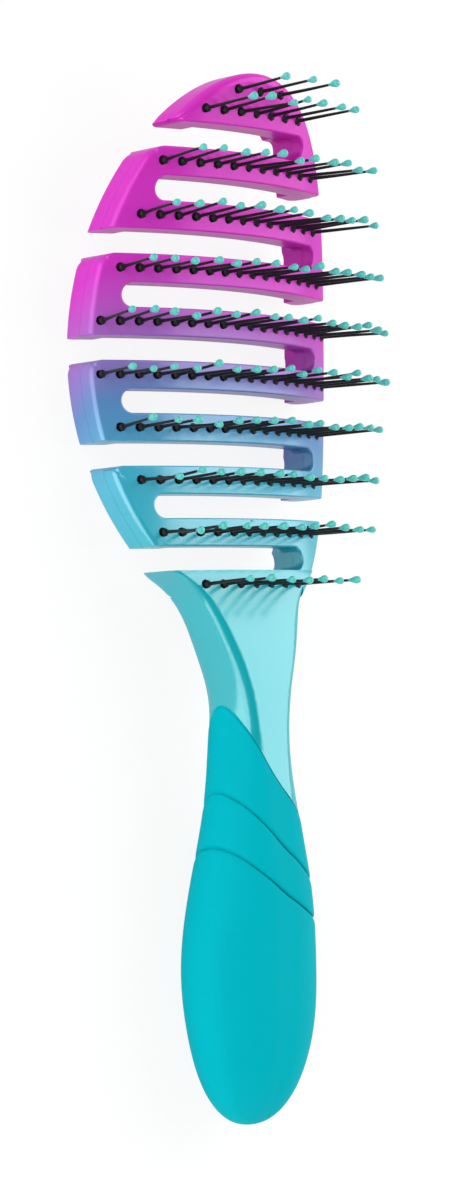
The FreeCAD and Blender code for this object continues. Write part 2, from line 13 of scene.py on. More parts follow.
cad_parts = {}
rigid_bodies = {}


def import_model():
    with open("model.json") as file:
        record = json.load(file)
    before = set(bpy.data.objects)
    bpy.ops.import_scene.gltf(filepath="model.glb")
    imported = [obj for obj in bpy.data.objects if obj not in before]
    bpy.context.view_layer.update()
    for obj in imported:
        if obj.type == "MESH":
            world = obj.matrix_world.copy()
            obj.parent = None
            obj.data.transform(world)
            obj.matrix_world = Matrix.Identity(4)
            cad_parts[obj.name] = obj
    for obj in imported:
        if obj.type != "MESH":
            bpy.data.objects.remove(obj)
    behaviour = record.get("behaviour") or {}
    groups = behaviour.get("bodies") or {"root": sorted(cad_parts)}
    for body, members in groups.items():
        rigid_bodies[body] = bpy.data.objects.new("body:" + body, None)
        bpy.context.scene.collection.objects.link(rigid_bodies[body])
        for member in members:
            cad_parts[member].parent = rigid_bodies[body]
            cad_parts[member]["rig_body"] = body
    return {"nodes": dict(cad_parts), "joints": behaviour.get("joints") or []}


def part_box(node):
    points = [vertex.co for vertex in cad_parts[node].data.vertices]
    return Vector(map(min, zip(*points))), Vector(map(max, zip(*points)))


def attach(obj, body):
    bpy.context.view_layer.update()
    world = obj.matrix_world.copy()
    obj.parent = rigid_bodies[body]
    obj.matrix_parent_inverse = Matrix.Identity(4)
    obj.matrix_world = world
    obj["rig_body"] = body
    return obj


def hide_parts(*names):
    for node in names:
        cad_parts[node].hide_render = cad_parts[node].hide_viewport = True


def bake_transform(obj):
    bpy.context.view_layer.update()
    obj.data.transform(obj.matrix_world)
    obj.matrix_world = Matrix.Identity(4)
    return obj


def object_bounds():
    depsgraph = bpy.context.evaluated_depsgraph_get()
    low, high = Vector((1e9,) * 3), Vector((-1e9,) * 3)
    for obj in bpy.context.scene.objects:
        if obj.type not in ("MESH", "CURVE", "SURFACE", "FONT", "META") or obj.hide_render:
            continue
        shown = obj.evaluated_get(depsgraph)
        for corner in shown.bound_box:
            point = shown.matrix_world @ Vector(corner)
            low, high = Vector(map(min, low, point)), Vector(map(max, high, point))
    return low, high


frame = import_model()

bl_info = {
    "name": "Detangling Brush",
    "version": (1, 0, 0),
    "blender": (4, 5, 0),
    "location": "3D View > Sidebar > Brush",
    "description": "Finishes a detangling brush with a flexing head, fanned pins and a soft grip",
    "category": "Object",
}

NODES = frame["nodes"]
CAD_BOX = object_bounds()
ROWS = sum(name.startswith("pins_row_") for name in NODES)
MM = 0.001
# Points of a CAD mesh that lie this near are one
WELD = MM / 1000
# Places along the fade, in millimetres: its start, each paint, and where the lacquer starts and ends to thin
FADE_START = -20
FADE_STOPS = {"neck_colour": -14, "sea_colour": 16, "blue_colour": 33, "violet_colour": 46.5,
              "rose_colour": 60.5, "tip_colour": 92}
LACQUER_THINS = (20, 50)


class BrushPaint(bpy.types.PropertyGroup):
    """Pearl paint that fades along the head and the neck."""
    tip_colour: FloatVectorProperty(
        name="Tip", description="Paint on the first bars", subtype="COLOR", size=4,
        default=(0.56, 0.026, 0.43, 1))
    rose_colour: FloatVectorProperty(
        name="Rose", description="Paint on the third and fourth bar", subtype="COLOR", size=4,
        default=(0.56, 0.034, 0.48, 1))
    violet_colour: FloatVectorProperty(
        name="Violet", description="Paint on the fifth bar", subtype="COLOR", size=4,
        default=(0.33, 0.12, 0.48, 1))
    blue_colour: FloatVectorProperty(
        name="Blue", description="Paint on the sixth and seventh bar", subtype="COLOR", size=4,
        default=(0.09, 0.22, 0.47, 1))
    sea_colour: FloatVectorProperty(
        name="Sea", description="Paint on the eighth and ninth bar", subtype="COLOR", size=4,
        default=(0.04, 0.38, 0.53, 1))
    neck_colour: FloatVectorProperty(
        name="Neck", description="Paint on the last bar and the neck", subtype="COLOR", size=4,
        default=(0.0, 0.36, 0.41, 1))
    drift: FloatProperty(
        name="Drift", description="How far the fade runs on across the brush", default=0.12)
    sink: FloatProperty(
        name="Sink", description="How far the fade runs on down the side walls", default=0.7)
    pearl: FloatProperty(
        name="Pearl", description="How metallic the paint is", subtype="FACTOR", min=0, max=1, default=0.14)
    roughness: FloatProperty(
        name="Roughness", description="Roughness of the pearl coat", subtype="FACTOR", min=0, max=1,
        default=0.34)
    lacquer: FloatProperty(
        name="Lacquer", description="Weight of the clear lacquer on the neck", subtype="FACTOR", min=0, max=1,
        default=0.28)
    tip_lacquer: FloatProperty(
        name="Tip lacquer", description="Weight of the clear lacquer on the first bars", subtype="FACTOR",
        min=0, max=1, default=0.05)
    peel: FloatProperty(
        name="Peel", description="Depth of the fine ripple in the lacquer", min=0, max=1, default=0.05)


class BrushCorners(bpy.types.PropertyGroup):
    """Rounded corners at the open ends of the bars."""
    corner: FloatProperty(
        name="Corner", description="Round of a bar's open corner", unit="LENGTH", default=3.0 * MM)
    nose: FloatProperty(
        name="Nose", description="Round of the pointed end of the first bar", unit="LENGTH", default=2.6 * MM)


class BrushPins(bpy.types.PropertyGroup):
    """Nylon pins and their bonded tips."""
    reach: FloatProperty(
        name="Reach", description="Height of a pin above the bar", unit="LENGTH", default=15.8 * MM)
    root_radius: FloatProperty(
        name="Root radius", description="Radius above the collar", unit="LENGTH", default=0.42 * MM)
    end_radius: FloatProperty(
        name="End radius", description="Radius below the tip", unit="LENGTH", default=0.27 * MM)
    collar_radius: FloatProperty(
        name="Collar radius", description="Radius of the domed collar", unit="LENGTH", default=0.9 * MM)
    collar_height: FloatProperty(
        name="Collar height", description="Height of the domed collar", unit="LENGTH", default=0.55 * MM)
    lean: FloatProperty(
        name="Lean", description="Usual lean of a pin off its own line", subtype="ANGLE",
        default=math.radians(1.3))
    curl: FloatProperty(
        name="Curl", description="Usual bend of a pin at its end", unit="LENGTH", default=0.18 * MM)
    seed: IntProperty(name="Seed", description="Start of the chance in lean and curl", default=11)
    tip_radius: FloatProperty(
        name="Tip radius", description="Usual radius of a bonded tip", unit="LENGTH", default=0.84 * MM)
    pin_colour: FloatVectorProperty(
        name="Pin", description="Nylon of the pins", subtype="COLOR", size=4,
        default=(0.006, 0.006, 0.007, 1))
    tip_colour: FloatVectorProperty(
        name="Tips", description="Resin of the bonded tips", subtype="COLOR", size=4,
        default=(0.07, 0.46, 0.42, 1))


class BrushGrip(bpy.types.PropertyGroup):
    """Soft grip moulded over the tang."""
    colour: FloatVectorProperty(
        name="Colour", description="Soft rubber of the grip", subtype="COLOR", size=4,
        default=(0.0, 0.365, 0.428, 1))
    edge_y: FloatProperty(
        name="Edge", description="Where the grip's upper edge crosses the middle line", unit="LENGTH",
        default=-40.5 * MM)
    edge_slant: FloatProperty(
        name="Edge slant", description="Slant of the upper edge", subtype="ANGLE", default=math.radians(52.5))
    upper_groove_y: FloatProperty(
        name="Upper groove", description="Where the upper groove crosses the middle line", unit="LENGTH",
        default=-55.31 * MM)
    upper_groove_slant: FloatProperty(
        name="Upper groove slant", description="Slant of the upper groove", subtype="ANGLE",
        default=math.radians(42.5))
    lower_groove_y: FloatProperty(
        name="Lower groove", description="Where the lower groove crosses the middle line", unit="LENGTH",
        default=-65.91 * MM)
    lower_groove_slant: FloatProperty(
        name="Lower groove slant", description="Slant of the lower groove", subtype="ANGLE",
        default=math.radians(32.8))
    line_radius: FloatProperty(
        name="Line radius", description="Curve of the edge and the grooves", unit="LENGTH", default=56 * MM)
    line_reach: FloatProperty(
        name="Line reach", description="Half length of the curved stretch of a line", unit="LENGTH",
        default=24 * MM)
    groove_depth: FloatProperty(
        name="Groove depth", description="Depth of both grooves", unit="LENGTH", default=1.0 * MM)
    groove_width: FloatProperty(
        name="Groove width", description="Width of both grooves", unit="LENGTH", default=2.6 * MM)
    lip: FloatProperty(
        name="Lip", description="Round of the upper edge, with the seam beside it", unit="LENGTH",
        default=0.6 * MM)
    seam: FloatProperty(
        name="Seam", description="Depth of the fine seam between the grip and the neck", unit="LENGTH",
        default=0.6 * MM)
    proud: FloatProperty(
        name="Proud", description="How far the upper edge stands above the neck", unit="LENGTH",
        default=0.25 * MM)
    proud_run: FloatProperty(
        name="Proud run", description="Distance over which the grip comes down again", unit="LENGTH",
        default=8.0 * MM)


class BrushStage(bpy.types.PropertyGroup):
    """Camera, lamps and floor."""
    camera_place: FloatVectorProperty(
        name="Camera", description="Where the camera stands", subtype="TRANSLATION", size=3,
        default=(-0.54954, -0.02568, 0.52804))
    camera_turn: FloatVectorProperty(
        name="Camera turn", description="How the camera is turned", subtype="EULER", size=3,
        default=tuple(math.radians(angle) for angle in (4.7106, -46.7021, -3.7685)))
    lens: FloatProperty(
        name="Lens", description="Focal length on a frame 36 mm tall", unit="CAMERA", default=100.39)
    horizon: FloatProperty(
        name="Horizon", description="Strength of the light from all sides", min=0, default=1.0)
    zenith: FloatProperty(
        name="Zenith", description="Strength of the light from above", min=0, default=0.05)
    key: FloatProperty(
        name="Key", description="Key lamp at the left", unit="POWER", default=13.0)
    fill: FloatProperty(
        name="Fill", description="Fill lamp at the right", unit="POWER", default=10.0)
    low: FloatProperty(
        name="Low", description="Low lamp beyond the heel", unit="POWER", default=3.4)
    floor_glow: FloatProperty(
        name="Floor glow", description="Share of plain white in the floor that the camera sees",
        subtype="FACTOR", min=0, max=1, default=0.88)


def add_node(tree, kind, inputs=(), **settings):
    """A shader node with its settings and its fixed inputs."""
    node = tree.nodes.new(kind)
    for name, setting in settings.items():
        setattr(node, name, setting)
    for name, number in dict(inputs).items():
        node.inputs[name].default_value = number
    return node


def new_material(name, **sockets):
    """A material whose main shader has these fixed sockets."""
    material = bpy.data.materials.new(name)
    material.use_nodes = True
    shader = material.node_tree.nodes["Principled BSDF"]
    for socket, number in sockets.items():
        shader.inputs[socket.replace("_", " ")].default_value = number
    return material, material.node_tree, shader


def add_grain(tree, shader, scale, depth, roughness, spread):
    """Fine bump and uneven roughness, at so many grains to a metre."""
    place = add_node(tree, "ShaderNodeTexCoord")
    noise = add_node(tree, "ShaderNodeTexNoise", {"Scale": scale, "Detail": 4.0, "Roughness": 0.6})
    tree.links.new(place.outputs["Object"], noise.inputs["Vector"])
    bump = add_node(tree, "ShaderNodeBump", {"Strength": depth, "Distance": 0.2 * MM})
    tree.links.new(noise.outputs["Fac"], bump.inputs["Height"])
    tree.links.new(bump.outputs["Normal"], shader.inputs["Normal"])
    rough = add_node(tree, "ShaderNodeMapRange", {"To Min": roughness - spread, "To Max": roughness + spread})
    tree.links.new(noise.outputs["Fac"], rough.inputs["Value"])
    tree.links.new(rough.outputs["Result"], shader.inputs["Roughness"])
    return place


def tint(tree, shader, place, colour, scale, spread):
    """Base colour with slow, faint cloudiness."""
    cloud = add_node(tree, "ShaderNodeTexNoise", {"Scale": scale, "Detail": 2.0})
    tree.links.new(place.outputs["Object"], cloud.inputs["Vector"])
    level = add_node(tree, "ShaderNodeMapRange", {"To Min": 1 - spread, "To Max": 1 + spread})
    tree.links.new(cloud.outputs["Fac"], level.inputs["Value"])
    shade = add_node(tree, "ShaderNodeHueSaturation")
    tree.links.new(level.outputs["Result"], shade.inputs["Value"])
    if isinstance(colour, bpy.types.NodeSocket):
        tree.links.new(colour, shade.inputs["Color"])
    else:
        shade.inputs["Color"].default_value = colour
    tree.links.new(shade.outputs["Color"], shader.inputs["Base Color"])


def pearl_paint(paint):
    """Pearl paint that fades from the tip of the head to the neck, under lacquer that thins to the tip."""
    material, tree, shader = new_material(
        "pearl_paint", Metallic=paint.pearl, Specular_IOR_Level=0.05, Coat_Weight=paint.lacquer,
        Coat_Roughness=0.18, Coat_IOR=3.2)
    place = add_grain(tree, shader, scale=900, depth=paint.peel, roughness=paint.roughness, spread=0.05)
    way = (paint.drift, 1.0, -paint.sink)
    along = add_node(tree, "ShaderNodeVectorMath", {1: way}, operation="DOT_PRODUCT")
    tree.links.new(place.outputs["Object"], along.inputs[0])
    thick, thin = LACQUER_THINS
    gloss = add_node(tree, "ShaderNodeMapRange", {
        "From Min": thick * MM, "From Max": thin * MM, "To Min": paint.lacquer, "To Max": paint.tip_lacquer})
    tree.links.new(along.outputs["Value"], gloss.inputs["Value"])
    tree.links.new(gloss.outputs["Result"], shader.inputs["Coat Weight"])
    low, high = FADE_START * MM, CAD_BOX[1].y
    share = add_node(tree, "ShaderNodeMapRange", {"From Min": low, "From Max": high})
    tree.links.new(along.outputs["Value"], share.inputs["Value"])
    fade = add_node(tree, "ShaderNodeValToRGB")
    ramp = fade.color_ramp
    for _ in range(len(FADE_STOPS) - len(ramp.elements)):
        ramp.elements.new(0.5)
    for element, (colour, y) in zip(ramp.elements, FADE_STOPS.items()):
        element.position = (y * MM - low) / (high - low)
        element.color = getattr(paint, colour)
    tree.links.new(share.outputs["Result"], fade.inputs["Fac"])
    tint(tree, shader, place, fade.outputs["Color"], scale=60, spread=0.03)
    return material


def nylon(pins):
    """Black nylon of the pins."""
    material, tree, shader = new_material("black_nylon", Specular_IOR_Level=0.22)
    place = add_grain(tree, shader, scale=3000, depth=0.08, roughness=0.42, spread=0.08)
    tint(tree, shader, place, pins.pin_colour, scale=400, spread=0.25)
    return material


def resin(pins):
    """Mint resin of the bonded tips."""
    material, tree, shader = new_material(
        "mint_resin", Specular_IOR_Level=0.5, Subsurface_Weight=0.15, Subsurface_Scale=0.5 * MM)
    place = add_grain(tree, shader, scale=1800, depth=0.05, roughness=0.30, spread=0.06)
    tint(tree, shader, place, pins.tip_colour, scale=300, spread=0.10)
    return material


def soft_rubber(grip):
    """Matte rubber with a fine moulded grain."""
    material, tree, shader = new_material("soft_rubber", Specular_IOR_Level=0.02)
    place = add_grain(tree, shader, scale=2600, depth=0.10, roughness=0.62, spread=0.06)
    tint(tree, shader, place, grip.colour, scale=45, spread=0.025)
    return material


def give_material(data, material):
    """Give a mesh its only material."""
    data.materials.clear()
    data.materials.append(material)


def new_piece(name, mesh, material):
    """A smooth object from a bmesh, which is freed."""
    bmesh.ops.recalc_face_normals(mesh, faces=mesh.faces)
    data = bpy.data.meshes.new(name)
    mesh.to_mesh(data)
    mesh.free()
    data.materials.append(material)
    data.polygons.foreach_set("use_smooth", [True] * len(data.polygons))
    piece = bpy.data.objects.new(name, data)
    bpy.context.scene.collection.objects.link(piece)
    return piece


def shared_material(name, make, finish):
    """The material of that name, made once."""
    return bpy.data.materials.get(name) or make(finish)


def put_in_place(piece, node):
    """Let a piece ride on a CAD node's body, in the node's place, and hide the node."""
    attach(piece, NODES[node]["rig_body"])
    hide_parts(node)


def welded(node):
    """A CAD node's mesh with its doubled points joined."""
    mesh = bmesh.new()
    mesh.from_mesh(NODES[node].data)
    bmesh.ops.remove_doubles(mesh, verts=mesh.verts, dist=WELD)
    return mesh


def turned_axes(node):
    """Foot and end of each turned solid in a CAD node, in order along and across the brush."""
    solid = welded(node)
    waiting = set(solid.verts)
    axes = []
    while waiting:
        border = [waiting.pop()]
        points = []
        while border:
            vert = border.pop()
            points.append(vert.co[:])
            linked = {edge.other_vert(vert) for edge in vert.link_edges} & waiting
            waiting -= linked
            border.extend(linked)
        axes.append(long_axis(np.array(sorted(points))))
    solid.free()
    return sorted(axes, key=lambda axis: (round(axis[0].y / MM), axis[0].x))


def long_axis(points):
    """The two ends of a point cloud along its longest direction, the lower one first."""
    middle = (points.min(0) + points.max(0)) / 2
    direction = np.linalg.svd(points - points.mean(0), full_matrices=False)[2][0]
    direction *= np.sign(direction[2])
    along = (points - middle) @ direction
    return tuple(Vector(middle + direction * end) for end in (along.min(), along.max()))


class Pin:
    """One pin's place, line and chance lean."""
    # The most that a pin leans and curls, in usual ones, and the share of its reach that takes up the lean
    MOST = 2
    ROOT = 0.25
    # Half the stretch over which a pin's direction is taken
    STEP = 0.2 * MM

    def __init__(self, ends, pins, chance):
        def draw(usual):
            return max(-self.MOST, min(self.MOST, chance.gauss(0, 1))) * usual

        low, high = ends
        self.reach = pins.reach
        self.axis = (high - low).normalized()
        self.foot = high - self.axis * pins.reach
        across = self.axis.cross(Vector((0, 1, 0))).normalized()
        along = across.cross(self.axis)
        lean = [draw(math.tan(pins.lean)) for _ in range(2)]
        curl = [draw(pins.curl) for _ in range(2)]
        self.lean = across * lean[0] + along * lean[1]
        self.curl = across * curl[0] + along * curl[1]

    def centre(self, height):
        """The middle of the pin at a height above the bar."""
        share = max(0.0, height / self.reach)
        line = self.axis + self.lean * min(1.0, share / self.ROOT)
        return self.foot + line * height + self.curl * share ** 2

    def direction(self, height):
        """The way the pin points at a height above the bar."""
        return (self.centre(height + self.STEP) - self.centre(height - self.STEP)).normalized()


def standing_pins(row, pins):
    """All the pins of a row, leaning by chance with a fixed seed."""
    chance = random.Random(pins.seed + row)
    return [Pin(ends, pins, chance) for ends in turned_axes("pins_row_%d" % row)]


def turn_piece(mesh, pin, profile, count):
    """A turned form along a pin: profile is pairs of height and radius; the ends are closed."""
    side = pin.axis.orthogonal()
    rings = []
    for height, radius in profile:
        axis = pin.direction(height)
        side = (side - axis * side.dot(axis)).normalized()
        other = axis.cross(side)
        centre = pin.centre(height)
        angles = [2 * math.pi * i / count for i in range(count)]
        rings.append([mesh.verts.new(centre + (side * math.cos(a) + other * math.sin(a)) * radius)
                      for a in angles])
    for low, high in zip(rings, rings[1:]):
        for i in range(count):
            mesh.faces.new((low[i], low[(i + 1) % count], high[(i + 1) % count], high[i]))
    mesh.faces.new(rings[0][::-1])
    mesh.faces.new(rings[-1])


class BRUSH_OT_paint_head(bpy.types.Operator):
    """Paint the bars of the head, their rear covers and the neck"""
    bl_idname = "brush.paint_head"
    bl_label = "Paint the head"

    def execute(self, context):
        paint = shared_material("pearl_paint", pearl_paint, context.scene.brush_paint)
        for name in NODES:
            if name == "handle_core" or name.startswith(("front_bar_", "rear_cover_")):
                give_material(NODES[name].data, paint)
        return {"FINISHED"}


class BRUSH_OT_round_corners(bpy.types.Operator):
    """Round the open corners at the left ends of the bars, seen from the front"""
    bl_idname = "brush.round_corners"
    bl_label = "Round the corners"
    CUTS = 8
    # How far a corner's own wall is searched, how near a point lies on the edge, and where the wall is met
    NEAR = 12 * MM
    ON_EDGE = 0.05 * MM
    ON_WALL = (1.5 * MM, 6.5 * MM)
    # A point this near a cut lies on it, and an edge with more turn than this stays sharp
    ON_CUT = MM / 10000
    SHARP = math.radians(32)

    def execute(self, context):
        paint = shared_material("pearl_paint", pearl_paint, context.scene.brush_paint)
        corners = context.scene.brush_corners
        self.round_pieces(["front_bar_1", "rear_cover_1"], -1, corners.nose, paint)
        for row in range(2, ROWS, 2):
            self.round_pieces(["front_bar_%d" % row, "rear_cover_%d" % row], 1, corners.corner, paint)
        return {"FINISHED"}

    def round_pieces(self, nodes, up, radius, paint):
        """Copies of CAD nodes that share a corner, with that corner rounded."""
        corner, wall = self.find_corner(nodes[0], up)
        for node in nodes:
            mesh = welded(node)
            self.bend(mesh, corner, wall, radius)
            normals = self.weighed_normals(mesh)
            piece = new_piece(node + "_rounded", mesh, paint)
            piece.data.normals_split_custom_set(normals)
            put_in_place(piece, node)

    def find_corner(self, node, up):
        """The upper or lower corner at a node's left end, and the way its wall runs from there."""
        points = [vert.co for vert in NODES[node].data.vertices]
        left = min(point.x for point in points)
        near = [point for point in points if point.x < left + self.NEAR]
        edge = up * max(up * point.y for point in near)
        tip = min(point.x for point in near if abs(point.y - edge) < self.ON_EDGE)
        first, last = self.ON_WALL
        below = [point for point in near if first < up * (edge - point.y) < last]
        foot = min(below, key=lambda point: point.x)
        return Vector((tip, edge, 0)), Vector((foot.x - tip, foot.y - edge, 0)).normalized()

    def bend(self, mesh, corner, wall, radius):
        """Cut the mesh finely at a corner and draw the corner in to an arc."""
        def shares(point):
            down = (point.y - corner.y) / wall.y
            return down, point.x - corner.x - down * wall.x

        def at_corner(points):
            return all(min(share) < radius for share in zip(*(shares(point) for point in points)))

        across = Vector((1, 0, 0))
        faces = [face for face in mesh.faces if at_corner([vert.co for vert in face.verts])]
        parts = list(dict.fromkeys(part for face in faces for part in (*face.verts, *face.edges, face)))
        for i in range(1, self.CUTS + 1):
            for way, normal in ((wall, (0, 1, 0)), (across, (wall.y, -wall.x, 0))):
                parts = bmesh.ops.bisect_plane(mesh, geom=parts, dist=self.ON_CUT, plane_no=normal,
                                               plane_co=corner + way * radius * i / self.CUTS)["geom"]
        for vert in mesh.verts:
            down, right = (radius - share for share in shares(vert.co))
            if down > 0 and right > 0:
                scale = max(down, right) / math.hypot(down, right)
                place = corner + wall * (radius - down * scale) + across * (radius - right * scale)
                vert.co.xy = place.xy
        bmesh.ops.triangulate(mesh, faces=[face for face in mesh.faces if len(face.verts) > 3])
        bmesh.ops.recalc_face_normals(mesh, faces=mesh.faces)

    def weighed_normals(self, mesh):
        """A normal for each corner of each face, in which large faces count most."""
        limit = math.cos(self.SHARP)
        areas = {face: face.calc_area() for face in mesh.faces}
        normals = []
        for face in mesh.faces:
            for vert in face.verts:
                total = Vector()
                for other in vert.link_faces:
                    if other.normal.dot(face.normal) > limit:
                        total += other.normal * areas[other]
                normals.append(total.normalized())
        return normals


class BRUSH_OT_bend_webs(bpy.types.Operator):
    """Put a painted copy in place of each web between two bars"""
    bl_idname = "brush.bend_webs"
    bl_label = "Bend the webs"

    def execute(self, context):
        paint = shared_material("pearl_paint", pearl_paint, context.scene.brush_paint)
        for joint in frame["joints"]:
            for entry in joint["deforming_nodes"]:
                self.make_web(entry["node"], joint["parent"], joint["child"], paint)
        return {"FINISHED"}

    def make_web(self, node, parent, child, paint):
        """A painted copy of a CAD link, in the link's place and left unbent."""
        web = bpy.data.objects.new(node.replace("link", "web"), NODES[node].data.copy())
        bpy.context.scene.collection.objects.link(web)
        give_material(web.data, paint)
        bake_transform(web)
        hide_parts(node)


class BRUSH_OT_plant_pins(bpy.types.Operator):
    """Plant the pins with their collars, each with a lean of its own"""
    bl_idname = "brush.plant_pins"
    bl_label = "Plant the pins"
    SIDES = 14
    DOME_STEPS = 4
    # Shares of the shaft at which it has a ring
    SHAFT = (0.03, 0.2, 0.4, 0.6, 0.8, 1.0)

    def execute(self, context):
        pins = context.scene.brush_pins
        material = shared_material("black_nylon", nylon, pins)
        for row in range(1, ROWS + 1):
            mesh = bmesh.new()
            for pin in standing_pins(row, pins):
                turn_piece(mesh, pin, self.profile(pins), self.SIDES)
            put_in_place(new_piece("pins_%d" % row, mesh, material), "pins_row_%d" % row)
        return {"FINISHED"}

    def profile(self, pins):
        """Domed collar and tapered shaft."""
        collar, root = pins.collar_radius, pins.root_radius
        angles = [math.pi / 2 * i / self.DOME_STEPS for i in range(self.DOME_STEPS + 1)]
        dome = [(pins.collar_height * math.sin(a), root + (collar - root) * math.cos(a)) for a in angles]
        shaft = [(pins.collar_height + (pins.reach - pins.collar_height) * share,
                  root + (pins.end_radius - root) * share) for share in self.SHAFT]
        return [(-pins.collar_height, collar)] + dome + shaft


class BRUSH_OT_bond_tips(bpy.types.Operator):
    """Bond a round tip onto the end of each pin"""
    bl_idname = "brush.bond_tips"
    bl_label = "Bond the tips"
    SIDES = 18
    # Keeps the chance of the tips apart from that of the pins
    SEED_STEP = 7
    # Least and most size of a tip, and length of its tail, as shares of the usual ones
    SIZES = (0.9, 1.06)
    TAILS = (0.7, 1.25)
    # Height from the pin's end in tip radii, and share of the tip's radius
    DROP = ((-2.0, 0.36), (-1.6, 0.44), (-1.2, 0.58), (-0.8, 0.74), (-0.4, 0.88), (0.0, 0.97), (0.35, 1.0),
            (0.65, 0.96), (0.9, 0.86), (1.1, 0.7), (1.25, 0.5), (1.34, 0.28), (1.37, 0.06))

    def execute(self, context):
        pins = context.scene.brush_pins
        material = shared_material("mint_resin", resin, pins)
        for row in range(1, ROWS + 1):
            chance = random.Random(pins.seed * self.SEED_STEP + row)
            mesh = bmesh.new()
            for pin in standing_pins(row, pins):
                radius = pins.tip_radius * chance.uniform(*self.SIZES)
                tail = chance.uniform(*self.TAILS)
                drop = [(pins.reach + min(height, height * tail) * radius, share * radius)
                        for height, share in self.DROP]
                turn_piece(mesh, pin, drop, self.SIDES)
            put_in_place(new_piece("tips_%d" % row, mesh, material), "tips_row_%d" % row)
        return {"FINISHED"}


class BRUSH_OT_mould_grip(bpy.types.Operator):
    """Mould the soft grip with its rolled edge and two slanted grooves"""
    bl_idname = "brush.mould_grip"
    bl_label = "Mould the grip"
    # Points round a ring, evenly laid rings, and steps on the way in to the surface
    SIDES = 120
    RINGS = 90
    STEPS = 16
    # Distances of rings from the upper edge, in lip rounds, and from a groove, in groove widths
    NEAR_EDGE = (0.02, 0.1, 0.25, 0.5, 0.8, 1.2)
    NEAR_GROOVE = (0.0, 0.05, 0.12, 0.2, 0.3, 0.4, 0.5, 0.65)
    # Runs beyond the flat end of the heel, and shares of its size there
    HEEL = ((0.1 * MM, 0.86), (0.2 * MM, 0.69), (0.28 * MM, 0.5), (0.33 * MM, 0.32), (0.35 * MM, 0.12))
    # Share of the lip that is the seam, and of a groove's depth that is its soft dip
    SEAM = 0.3
    DIP = 0.4
    # How many times narrower than its dip a groove's sharp middle is
    NARROW = 4
    # Least gap between the evenly laid rings and the close ones
    CLEAR = 0.4 * MM
    # Rings this near the middle of a groove are laid from those beside it, not from the CAD grip
    SKIP = 0.95 * MM

    def execute(self, context):
        self.grip = context.scene.brush_grip
        self.cad = self.whole_handle()
        low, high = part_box("grip")
        self.heel = low.y
        self.reach = high.x - low.x
        lines = self.ring_lines()
        rings = [self.ring(y) for y in lines]
        self.cut_grooves(lines, rings)
        rings += self.heel_rings(rings[-1])
        mesh = bmesh.new()
        verts = [[mesh.verts.new(point) for point in ring] for ring in rings]
        for upper, lower in zip(verts, verts[1:]):
            for i in range(self.SIDES):
                j = (i + 1) % self.SIDES
                mesh.faces.new((upper[i], upper[j], lower[j], lower[i]))
        for ring in (verts[0][::-1], verts[-1]):
            centre = mesh.verts.new(sum((v.co for v in ring), Vector()) / len(ring))
            for i in range(self.SIDES):
                mesh.faces.new((ring[i], ring[(i + 1) % self.SIDES], centre))
        rubber = shared_material("soft_rubber", soft_rubber, self.grip)
        put_in_place(new_piece("soft_grip", mesh, rubber), "grip")
        return {"FINISHED"}

    def whole_handle(self):
        """The CAD grip and the neck, flush with each other, to cast rays at."""
        points, faces = [], []
        for name in ("grip", "handle_core"):
            start = len(points)
            points += [vert.co.copy() for vert in NODES[name].data.vertices]
            faces += [[start + i for i in face.vertices] for face in NODES[name].data.polygons]
        return BVHTree.FromPolygons(points, faces)

    def slant(self, y):
        """Slant of a ring, from the grip's edge over both grooves to none at the heel."""
        grip = self.grip
        places = (self.heel, grip.lower_groove_y, grip.upper_groove_y, grip.edge_y)
        slants = (0.0, grip.lower_groove_slant, grip.upper_groove_slant, grip.edge_slant)
        return float(np.interp(y, places, slants))

    def grooves(self):
        """Place and slant of both grooves."""
        grip = self.grip
        return ((grip.upper_groove_y, grip.upper_groove_slant),
                (grip.lower_groove_y, grip.lower_groove_slant))

    def ring_lines(self):
        """Where the rings cross the middle line: close at the edge, at the grooves and at the heel."""
        grip = self.grip
        lines = [grip.edge_y - grip.lip * share / math.cos(grip.edge_slant) for share in self.NEAR_EDGE]
        for y, slant in self.grooves():
            offsets = [share * grip.groove_width / math.cos(slant) for share in self.NEAR_GROOVE]
            lines += [y - offset for offset in offsets] + [y + offset for offset in offsets[1:]]
        close = list(lines)
        for i in range(1, self.RINGS):
            y = grip.edge_y + (self.heel - grip.edge_y) * math.sin(math.pi / 2 * i / self.RINGS)
            if min(abs(y - other) for other in close) > self.CLEAR:
                lines.append(y)
        return sorted(lines, reverse=True)

    def ring(self, y):
        """One ring of points on the CAD grip, on a line that slants and curves as the grooves do."""
        slant = self.slant(y)
        curve = float(np.interp(y, (self.heel, self.grip.lower_groove_y), (0.0, 1 / self.grip.line_radius)))
        middle = self.middle_height(y)

        def place(out, angle):
            along = out * math.cos(angle)
            near = max(-self.grip.line_reach, min(self.grip.line_reach, along))
            up = curve * near ** 2 / (1 + math.sqrt(1 - (curve * near) ** 2))
            return Vector((along * math.cos(slant) + up * math.sin(slant),
                           y - along * math.sin(slant) + up * math.cos(slant),
                           middle + out * math.sin(angle)))

        return [self.outermost(place, 2 * math.pi * i / self.SIDES, y) for i in range(self.SIDES)]

    def outermost(self, place, angle, y):
        """The first point of the surface on the way in at an angle."""
        start = place(self.reach, angle)
        for step in range(1, self.STEPS + 1):
            end = place(self.reach * (1 - step / self.STEPS), angle)
            way = end - start
            hit = self.cad.ray_cast(start, way.normalized(), way.length)[0]
            if hit is not None:
                return hit
            start = end
        raise RuntimeError("the grip has no surface at y = %.4f" % y)

    def middle_height(self, y):
        """Height of the grip's middle line."""
        top = self.cad.ray_cast(Vector((0, y, 1)), Vector((0, 0, -1)))[0]
        base = self.cad.ray_cast(Vector((0, y, -1)), Vector((0, 0, 1)))[0]
        if top is None or base is None:
            raise RuntimeError("the grip has no middle at y = %.4f" % y)
        return (top.z + base.z) / 2

